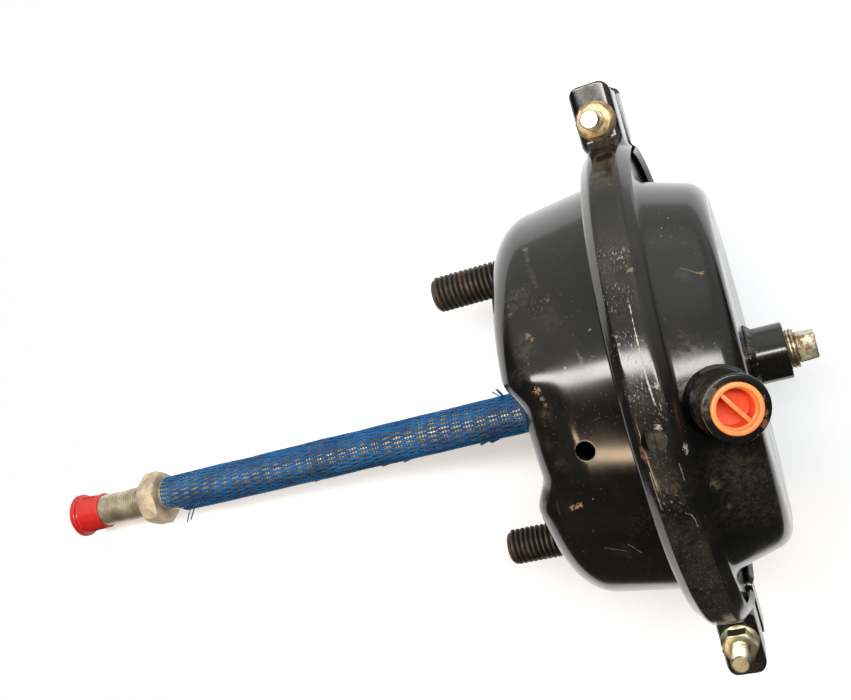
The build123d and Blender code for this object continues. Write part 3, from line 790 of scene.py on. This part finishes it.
def clampHalf(name, way):
    sections = {}

    def runs(t, reach):
        return (bandRun(t, ring["crest"], ear["seat"], ear["bend"], reach),
                bandRun(t, ring["lip"], ring["split"], ear["lipBend"], reach))

    def place(u, v):
        t = abs(2 * v - 1)
        side = 1 if v >= 0.5 else -1
        if t not in sections:
            outer, inner = runs(t, ear["reach"])
            drop = (outer - inner).length
            sections[t] = bandSection(ease((t - ear["widenFrom"]) / ear["widenRun"]), drop), drop
        section, drop = sections[t]
        x, fall = section[round(u * (len(section) - 1))]
        corner = max(0, abs(x) - (ear["half"] - ear["endRound"]))
        short = ear["endRound"] - sqrt(max(0, ear["endRound"] ** 2 - corner ** 2))
        outer, inner = runs(t, ear["reach"] - short)
        y, z = outer.lerp(inner, fall / drop)
        return ring["x"] + x, side * y, way * z

    bm = bmesh.new()
    wrap(bm, 24, ring["steps"], place)      # a section has 25 points
    tidy(bm, (ring["x"], 0, 0))
    half = walled(objectFrom(bm, name), ring["wall"])
    x, y = ring["x"], ear["boltOffset"]
    holes = [((x, side * y, way * 10), (x, side * y, way * 30), ear["boltHole"]) for side in (-1, 1)]
    holes.append(((ring["holeX"], 0, way * 90), (ring["holeX"], 0, way * 110), ring["hole"]))
    drilled(half, holes)
    bevelled(half, ring["edge"], 2, 50)
    return half


for word, way in (("Upper", 1), ("Lower", -1)):
    half = clampHalf("clampRing" + word, way)
    finished(half, "ringPaint", "chamber", "black_paint", "clamp_ring_" + word.lower())
print("stage: clamp ring made")


# Fasteners

clampBolt = {"radius": 3.9, "pitch": 1.411, "depth": 0.80, "tip": 0.9, "plainShare": 0.4, "runOut": 0.6,
             "flats": 12.7}
clampNut = {"flange": 7.9, "flangeHeight": 1.6, "flats": 12.7, "height": 8, "bore": 4}
sides = ((-1, "Right"), (1, "Left"))


def addClampBolt(side, word):
    low, high = span("clamp_bolt_" + word.lower())
    seat, radius = -ear["seat"], clampBolt["radius"]
    length = high.z - seat
    plain = length * clampBolt["plainShare"]
    bm = bmesh.new()
    thread(bm, clampBolt, plain, length, 36)
    neck, root = plain + clampBolt["runOut"], radius - clampBolt["depth"]
    lathe(bm, [(0, 0), (0, radius), (plain, radius), (neck, root), (neck, 0)], 48)
    hexagon(bm, clampBolt["flats"], 0, low.z - seat, 0)
    tidy(bm)
    stood(bm, (ring["x"], side * ear["boltOffset"], seat), (0, 0, 1))
    finished(objectFrom(bm, "clampBolt" + word), "wornBoltZinc" if side > 0 else "boltZinc", "chamber",
             "yellow_zinc", "clamp_bolt_" + word.lower())


def addClampNut(side, word):
    flange, tall, bore = clampNut["flange"], clampNut["flangeHeight"], clampNut["bore"]
    bm = bmesh.new()
    hexagon(bm, clampNut["flats"], tall * 0.8, clampNut["height"], bore)
    lathe(bm, rounded([(0, bore, 0), (0, flange, 0.3), (tall * 0.7, flange, 0.5),
                       (tall * 1.35, clampNut["flats"] / 2 - 0.4, 0.6), (tall * 1.35, bore, 0)], 4), 72)
    tidy(bm)
    stood(bm, (ring["x"], side * ear["boltOffset"], ear["seat"]), (0, 0, 1))
    finished(objectFrom(bm, "clampNut" + word), "wornNutZinc" if side > 0 else "yellowZinc", "chamber",
             "yellow_zinc", "clamp_nut_" + word.lower())


mountingStud = {"radius": 7.94, "pitch": 2.309, "depth": 1.35, "tip": 1.6, "projection": 34, "neck": 8.6,
                "head": 10, "headHeight": 4.5}


def mountingStuds():
    head, neck, back = mountingStud["head"], mountingStud["neck"], -frontShell["wall"]
    foot = back - mountingStud["headHeight"]
    for side, word in sides:
        bm = bmesh.new()
        thread(bm, mountingStud, 0, mountingStud["projection"], 48)
        lathe(bm, rounded([(foot, 0, 0), (foot, head, 1), (back, head, 0.3), (back, neck, 0),
                           (0, neck, 0.2), (0, 0, 0)], 4), 72)
        tidy(bm)
        bmesh.ops.translate(bm, verts=bm.verts, vec=(0, side * studPad["offset"] * mm, 0))
        finished(objectFrom(bm, "mountingStud" + word), "studSteel", "chamber", "dark_steel",
                 "mounting_stud_" + word.lower())


for side, word in sides:
    addClampBolt(side, word)
    addClampNut(side, word)
mountingStuds()
print("stage: fasteners made")


# Push rod, its nut, cap and netting sleeve

pushRod = {"radius": 7.94, "pitch": 1.411, "depth": 0.80, "tip": 1.4, "threadFrom": -16, "foot": 14,
           "footHeight": 4}
jamNut = {"flats": 23.8, "bore": 7.9, "turn": 30, "edge": 0.35}
threadCap = {"bore": 8, "wall": 0.95, "flange": 10.65, "flangeHeight": 3.2, "endWall": 1.9}


def rodParts():
    low, high = span("push_rod")
    back, foot, radius = low.x, pushRod["foot"], pushRod["radius"]
    neck, start = back + pushRod["footHeight"], pushRod["threadFrom"]
    bm = bmesh.new()
    thread(bm, pushRod, start, high.x, 32)
    lathe(bm, rounded([(back, 0, 0), (back, foot, 0.4), (neck, foot, 1), (neck, radius, 2),
                       (start, radius, 0.5), (start, 0, 0)], 5), 72)
    tidy(bm)
    finished(objectFrom(bm, "pushRod"), "rodZinc", "push_rod_assembly", "grey_zinc", "push_rod")

    low, high = span("rod_jam_nut")
    bm = bmesh.new()
    hexagon(bm, jamNut["flats"], low.x, high.x, jamNut["bore"], bothEnds=True)
    tidy(bm)
    turnedAbout(bm, bm.verts, jamNut["turn"])
    nut = bevelled(objectFrom(bm, "rodJamNut"), jamNut["edge"], 2, 30)
    finished(nut, "greyZinc", "jam_nut", "grey_zinc", "rod_jam_nut")

    low, high = span("rod_thread_cap")
    tip, mouth, flange, bore = high.x, low.x, threadCap["flange"], threadCap["bore"]
    inside, collar = tip - threadCap["endWall"], tip - threadCap["flangeHeight"]
    skirt = bore + threadCap["wall"]
    bm = bmesh.new()
    lathe(bm, rounded([(tip, 0, 0), (tip - 0.5, skirt - 1.6, 2), (tip, flange - 1.2, 1),
                       (tip - 0.6, flange, 0.8), (collar, flange, 0.7), (collar, skirt + 0.1, 0.8),
                       (mouth, skirt, 0.3), (mouth, bore, 0.2), (inside, bore, 0.3), (inside, 0, 0)], 5))
    tidy(bm)
    finished(objectFrom(bm, "rodThreadCap"), "redPlastic", "thread_cap", "red_plastic", "rod_thread_cap")


netting = {"yarns": 56, "radius": 9.05, "yarn": 0.385, "window": 11.5, "shut": 0.20, "open": 0.47,
           "openSide": 76, "steps": 140, "sides": 5, "pulledBack": 8.5, "seam": 1.3}
frays = [     # where a loose thread starts, how it runs, how it droops and its thickness
    ((17, -8.9, 2.5), (-1.2, -3.6, 1.2), (3, -1.2, 0.6), 0.34),
    ((17.3, -8.9, 2.6), (0.2, -4.2, 1.5), (1.6, -1, 0.4), 0.26),
    ((17.8, -8.9, 2.7), (0.9, -3, 1.5), (2.6, -1.4, 0.4), 0.30),
    ((28, 9, -2.2), (5.5, 1.2, 0.6), (1.5, 0.4, 0.5), 0.55),
    ((25, 9, -2), (5.5, 1.5, 0.4), (-1, -0.2, 0.4), 0.50),
    ((23.5, 9, -1.6), (4, 2, 0.3), (2, -0.4, 0.4), 0.36),
    ((66, 9.2, -1.6), (6, 1, 0.6), (1, 0.2, 0.2), 0.34),
    ((78, 9.2, -1.4), (5, 1.2, 0.3), (1, -0.5, 0.2), 0.34),
    ((112, 9.2, -1.4), (7, 0.9, 0.3), (1, -0.3, 0.2), 0.34),
    ((186, 8.6, 2), (3.6, 5, 0.6), (0.4, 0.6, -0.4), 0.34),
    ((187.6, 8.4, 3), (4.4, 5.4, 0.2), (-0.6, 0.8, 0.4), 0.32),
]


def nettingSleeve():
    low, high = span("rod_sleeve")
    length = high.x - low.x
    radius, thick, pitchAngle = netting["radius"], netting["yarn"], fullTurn / netting["yarns"]
    bm = bmesh.new()
    for yarn in range(netting["yarns"]):
        base = pitchAngle * yarn

        def place(u, v):        # the yarn leans to each neighbour in turn, more where the netting is loose
            x = low.x + length * v
            loose = fieldNoise(Vector((x * 0.03, 3 * cos(base), 3 * sin(base) + 7)))
            facing = cos(base - radians(netting["openSide"]) - 0.002 * (x - 90))
            band = ease((facing - 0.50 + 0.35 * loose) / 0.35)
            swing = mix(netting["shut"], netting["open"], max(band, ease((loose - 0.05) / 0.3)))
            wave = cos(fullTurn * x / netting["window"] + pi * (yarn % 2))
            around = u * fullTurn
            r = radius + thick * 0.8 * cos(around)
            angle = base + pitchAngle * swing * wave + thick * 1.1 * sin(around) / radius
            return x, r * cos(angle), r * sin(angle)
        wrap(bm, netting["sides"], netting["steps"], place)
    for vert in bm.verts:       # the sleeve as a whole: swollen, twisted, drawn back and creased
        x, y, z = vert.co / mm
        angle = atan2(z, y)
        across, up = cos(angle), sin(angle)
        wander = fieldNoise(Vector((x * 0.035, across * 0.9, up * 0.9)))
        swell = 1 + 0.035 * fieldNoise(Vector((x * 0.05, 3.1, across))) + 0.012 * wander
        share = (x - low.x) / length
        drawn = netting["pulledBack"] * ease((across - 0.15) / 0.6) * ease((share - 0.86) / 0.14)
        drawn += 1.2 * fieldNoise(Vector((9.2, across * 1.7, up * 1.7))) * ease((share - 0.9) / 0.1)
        seam = netting["seam"] * ease(1 - abs(angle + 0.45) / 0.5) * ease((x - 8) / 20) * ease((150 - x) / 30)
        swell += seam * (0.6 + 0.8 * fieldNoise(Vector((x * 0.09, 5, 1)))) / radius
        twist = 0.10 * wander
        y, z = (y * cos(twist) - z * sin(twist)) * swell, (y * sin(twist) + z * cos(twist)) * swell
        vert.co = Vector((x - max(0, drawn), y, z)) * mm
    for start, run, droop, thickness in frays:
        path = [Vector(start) + Vector(run) * (k / 9) + Vector(droop) * (k / 9) ** 2 * sin(2.4 * k / 9)
                for k in range(10)]
        strand(bm, path, thickness)
    tidy(bm)
    sleeve = objectFrom(bm, "rodSleeve")
    finished(sleeve, "blueYarn", "push_rod_assembly", "blue_mesh", "rod_sleeve", sharp=80)


rodParts()
nettingSleeve()
print("stage: rod, nut, cap and sleeve made")


# Ports and plugs

sidePlug = {"body": 8, "rim": 8.95, "rimHeight": 1.4, "depth": 9.5, "wall": 1.5, "floor": 1.6, "rib": 1.4,
            "ribDrop": 2.2, "ribAngle": 35, "step": 0.7, "stepDepth": 2.6, "edge": 0.18}
rearPort = {"radius": 11.8, "bore": 8.3, "length": 15, "chamfer": 0.8, "weld": 2.4}
rearPlug = {"radius": 8.2, "pitch": 1.411, "depth": 0.7, "tip": 0.5, "neck": 3.4, "inside": 9,
            "flats": 11.1, "head": 7.8, "taper": 0.93, "edge": 0.7}


def sidePortParts():
    tall, radius, bore = sidePort["height"], sidePort["radius"], sidePort["bore"]
    bm = bmesh.new()
    lathe(bm, rounded([(-2.4, bore, 0), (-2.4, radius, 0), (-0.4, radius + sidePort["weld"], 0.6),
                       (1.4, radius, 1.6), (tall, radius, sidePort["chamfer"]), (tall, bore + 0.5, 0.3),
                       (tall - 0.6, bore, 0.2)], 5))
    tidy(bm)
    stood(bm, portBase, portAxis)
    finished(objectFrom(bm, "sidePortBoss"), "bossPaint", "chamber", "black_paint", "side_port_boss")

    body, rim, bore = sidePlug["body"], sidePlug["rim"], sidePlug["body"] - sidePlug["wall"]
    back, top = tall - sidePlug["depth"], tall + sidePlug["rimHeight"]
    floor, ledge, wide = back + sidePlug["floor"], top - sidePlug["stepDepth"], bore + sidePlug["step"]
    bm = bmesh.new()
    lathe(bm, rounded([(back, 0, 0), (back, body, 0.6), (tall, body, 0), (tall, rim, 0.2), (top, rim, 0.6),
                       (top, wide, 0.4), (ledge, wide, 0.2), (ledge, bore, 0.2), (floor, bore, 0.5),
                       (floor, 0, 0)], 4))
    tidy(bm)
    ribTop = top - sidePlug["ribDrop"]
    rib = block(bm, (ribTop - floor, 2 * bore + 0.6, sidePlug["rib"]), ((ribTop + floor) / 2, 0, 0))
    turnedAbout(bm, rib, sidePlug["ribAngle"])
    stood(bm, portBase, portAxis)
    plug = bevelled(objectFrom(bm, "sidePortPlug"), sidePlug["edge"], 2, 60)
    finished(plug, "orangePlastic", "side_plug", "orange_plastic", "side_port_plug")


def rearPortParts():
    radius, bore, weld = rearPort["radius"], rearPort["bore"], rearPort["weld"]
    base = span("pressure_housing")[0].x
    end = base - rearPort["length"]
    bm = bmesh.new()
    lathe(bm, rounded([(base, bore, 0), (base, radius + weld, 0.3), (base - 0.9, radius + weld * 0.75, 0.8),
                       (base - weld, radius, 0.9), (end, radius, rearPort["chamfer"]),
                       (end, bore + 0.4, 0.3), (end + 0.6, bore, 0.2)], 5))
    for vert in bm.verts:       # the weld bead is lumpy
        x, r, angle = vert.co.x / mm, vert.co.yz.length / mm, atan2(vert.co.z, vert.co.y)
        if r > radius + 0.05:
            lump = 1 + 0.015 * sin(23 * angle)
            lump += 0.035 * fieldNoise(Vector((x * 0.5, 4 * cos(angle), 4 * sin(angle))))
            vert.co.y *= lump
            vert.co.z *= lump
    tidy(bm)
    finished(objectFrom(bm, "rearPortBoss"), "rearBossPaint", "chamber", "black_paint", "rear_port_boss")

    neck, tall, flats, taper = (rearPlug[size] for size in ("neck", "head", "flats", "taper"))
    middle = neck + tall / 2
    bm = bmesh.new()
    thread(bm, rearPlug, -rearPlug["inside"], neck, 48)
    head = block(bm, (tall, flats, flats), (middle, 0, 0))
    bmesh.ops.scale(bm, verts=[v for v in head if v.co.x > middle * mm], vec=(1, taper, taper))
    edges = list({e for v in head for e in v.link_edges})
    bmesh.ops.bevel(bm, geom=edges, offset=rearPlug["edge"] * mm, affect="EDGES", segments=3, profile=0.5,
                    material=-1)
    stood(bm, (end, 0, 0), (-1, 0, 0))
    finished(objectFrom(bm, "rearPortPlug"), "oliveZinc", "rear_plug", "rusty_zinc", "rear_port_plug")


sidePortParts()
rearPortParts()
print("stage: ports made")


# Inside: diaphragm, push plate and return spring

rubberCup = {"rimX": -59.7, "thickness": 3.2, "clearance": 0.3, "corner": 7, "innerCorner": 4,
             "facet": 1.6}
pushPlate = {"radius": 62, "thickness": 3, "curl": 7}
returnSpring = {"wire": 4.5, "small": 22, "large": 54, "turns": 6, "steps": 56, "sides": 12, "gap": 0.3}


def diaphragm():
    low, high = span("diaphragm")
    tilt = cos(radians(rearShell["draft"]))
    inset = (rearShell["wall"] + rubberCup["clearance"]) / tilt
    thick = rubberCup["thickness"] / tilt
    rear, front, floor, inner = rubberCup["rimX"], high.x, low.x, low.x + rubberCup["thickness"]
    fillet = rubberCup["innerCorner"]

    def outer(x):
        return rearRadius(x) - inset

    outline = rounded([(rear, high.y, 0.4), (rear, outer(rear), 1),
                       (floor, outer(floor), rubberCup["corner"]), (floor, 0, 0), (inner, 0, 0),
                       (inner, outer(inner) - thick, fillet), (front, outer(front) - thick, fillet),
                       (front, high.y, 0.4)])
    fine = []
    for a, b in zip(outline, outline[1:] + outline[:1]):
        pieces = max(1, ceil(abs(b.x - a.x) / rubberCup["facet"]))
        fine += [a.lerp(b, k / pieces) for k in range(pieces)]
    bm = bmesh.new()
    lathe(bm, fine, 120)
    tidy(bm)
    cup = objectFrom(bm, "diaphragmCup")
    finished(cup, "blackRubber", None, "black_rubber", "diaphragm")
    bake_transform(cup)


def plateAndSpring():
    low, high = span("push_plate")
    radius, face = pushPlate["radius"], low.x + pushPlate["thickness"]
    edge = radius - pushPlate["thickness"]
    bm = bmesh.new()
    lathe(bm, rounded([(low.x, 0, 0), (low.x, radius, 4.5), (high.x, radius, 1.2), (high.x, edge, 1.2),
                       (face, edge, 1.5), (face, 0, 0)], 5), 120)
    tidy(bm)
    finished(objectFrom(bm, "pushPlate"), "plainSteel", "push_rod_assembly", "plain_steel", "push_plate")

    half = returnSpring["wire"] / 2
    apart = returnSpring["gap"] + half
    start = high.x - pushPlate["curl"] + pushPlate["thickness"] + apart
    end = -valley["depth"] - frontShell["wall"] - apart

    def place(u, v):
        turn, around = v * returnSpring["turns"] * fullTurn, u * fullTurn
        r = mix(returnSpring["small"], returnSpring["large"], v) + half * cos(around)
        return mix(start, end, v) + half * sin(around), r * cos(turn), r * sin(turn)

    bm = bmesh.new()
    wrap(bm, returnSpring["sides"], returnSpring["turns"] * returnSpring["steps"], place)
    tidy(bm)
    closeEnds(bm)
    bmesh.ops.recalc_face_normals(bm, faces=bm.faces)
    coil = objectFrom(bm, "returnSpring")
    finished(coil, "springSteel", "chamber", "spring_steel", "return_spring")
    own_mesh(coil)


diaphragm()
plateAndSpring()
print("stage: inner pieces made")


# Studio: a white floor, a long soft lamp, a weak warm one and a pale world

studio = {"ringBottom": (-57.4, -102.8), "capBottom": (252, -10.65), "drop": 0.0006,
          "sheet": ((-0.36, -0.255), (0.264, 0.228)), "paper": (0.86, 0.88, 0.93, 1), "lift": 0.27,
          "dimSide": 0.05, "midSide": 0.80, "brightSide": 1.3, "brightFrom": (-0.26, -0.93, 0.26),
          "tint": (1, 1, 0.95, 1)}
lamps = (       # name, place, turn in degrees or None to aim at the origin, size, power, colour
    ("keyLamp", (-0.08, -0.240, 0.70), (-12, 0, -9), (1, 0.125), 7.8, (1, 0.985, 0.95)),
    ("warmLamp", (0.2125, 0.211, 0.592), None, (0.40, 0.05), 1.35, (1, 0.74, 0.50)),
)


def floorSheet():       # it lies under the ring and the cap, with its edges where the paint goes dark
    (x0, z0), (x1, z1) = studio["ringBottom"], studio["capBottom"]
    (xLow, yLow), (xHigh, yHigh) = studio["sheet"]
    slope = (z1 - z0) / (x1 - x0)
    middle = Vector((xLow + xHigh, yLow + yHigh, 0)) / 2
    middle.z = z0 * mm + (middle.x - x0 * mm) * slope - studio["drop"]
    turn = Vector((0, 0, 1)).rotation_difference(Vector((-slope, 0, 1))).to_matrix().to_4x4()
    place = Matrix.Translation(middle) @ turn @ Matrix.Diagonal((xHigh - xLow, yHigh - yLow, 1, 1))
    bm = bmesh.new()
    bmesh.ops.create_grid(bm, x_segments=1, y_segments=1, size=0.5, matrix=place)
    floor = objectFrom(bm, "floor")
    floor.data.materials.append(floorPaper())


def floorPaper():       # white to the camera and in reflections, clear from below
    material = bpy.data.materials.new("floorPaper")
    material.use_nodes = True
    tree = material.node_tree
    tree.nodes.clear()
    rays = node(tree, "LightPath").outputs
    paper = node(tree, "BsdfDiffuse", {"Color": studio["paper"]})
    seen = maths(tree, "MAXIMUM", rays["Is Glossy Ray"], rays["Is Transmission Ray"])
    lift = times(tree, maths(tree, "MAXIMUM", rays["Is Camera Ray"], seen), studio["lift"])
    glow = node(tree, "Emission", {"Color": (1, 1, 1, 1), "Strength": lift})
    lit = node(tree, "AddShader", {0: paper.outputs[0], 1: glow.outputs[0]})
    back = times(tree, node(tree, "NewGeometry").outputs["Backfacing"], rays["Is Camera Ray"])
    clear = node(tree, "BsdfTransparent")
    both = node(tree, "MixShader", {0: back, 1: lit.outputs[0], 2: clear.outputs[0]})
    node(tree, "OutputMaterial", {"Surface": both.outputs[0]})
    return material


def addLamps():
    for name, where, turn, size, power, colour in lamps:
        lamp = bpy.data.lights.new(name, "AREA")
        lamp.shape = "RECTANGLE"
        lamp.size, lamp.size_y = size
        lamp.energy = power
        lamp.color = colour
        holder = bpy.data.objects.new(name, lamp)
        holder.location = where
        aimed = (-Vector(where)).to_track_quat("-Z", "Y").to_euler()
        holder.rotation_euler = [radians(angle) for angle in turn] if turn else aimed
        bpy.context.scene.collection.objects.link(holder)


def paleWorld():        # dark on one side and bright on the other for the object, plain white to the camera
    world = bpy.data.worlds.new("studioWorld")
    world.use_nodes = True
    tree = world.node_tree
    tree.nodes.clear()
    direction = node(tree, "TexCoord").outputs["Generated"]
    facing = vectorMaths(tree, "DOT_PRODUCT", direction, Vector(studio["brightFrom"]).normalized())
    grey = levels(tree, rise(tree, facing, 0.15, 0.55), studio["dimSide"], studio["midSide"])
    grey = levels(tree, rise(tree, facing, 0.80, 0.95), grey, studio["brightSide"])
    sky = node(tree, "Background", {"Color": studio["tint"], "Strength": grey})
    white = node(tree, "Background", {"Color": (1, 1, 1, 1), "Strength": 1})
    camera = node(tree, "LightPath").outputs["Is Camera Ray"]
    seen = node(tree, "MixShader", {0: camera, 1: sky.outputs[0], 2: white.outputs[0]})
    node(tree, "OutputWorld", {"Surface": seen.outputs[0]})
    bpy.context.scene.world = world


cameraPlace = {"lens": 43.422, "location": (-0.10121, -0.08529, 0.43837), "turn": (-11.062, 16.11, 162.599)}


def addCamera():
    lens = bpy.data.cameras.new("benchCamera")
    lens.lens = cameraPlace["lens"]
    lens.sensor_fit = "HORIZONTAL"
    lens.clip_start, lens.clip_end = 0.01, 20
    holder = bpy.data.objects.new("benchCamera", lens)
    holder.location = cameraPlace["location"]
    holder.rotation_euler = [radians(turn) for turn in cameraPlace["turn"]]
    bpy.context.scene.collection.objects.link(holder)
    bpy.context.scene.camera = holder


floorSheet()
addLamps()
paleWorld()
addCamera()
bpy.context.scene.view_settings.view_transform = "Standard"
print("stage: studio made")
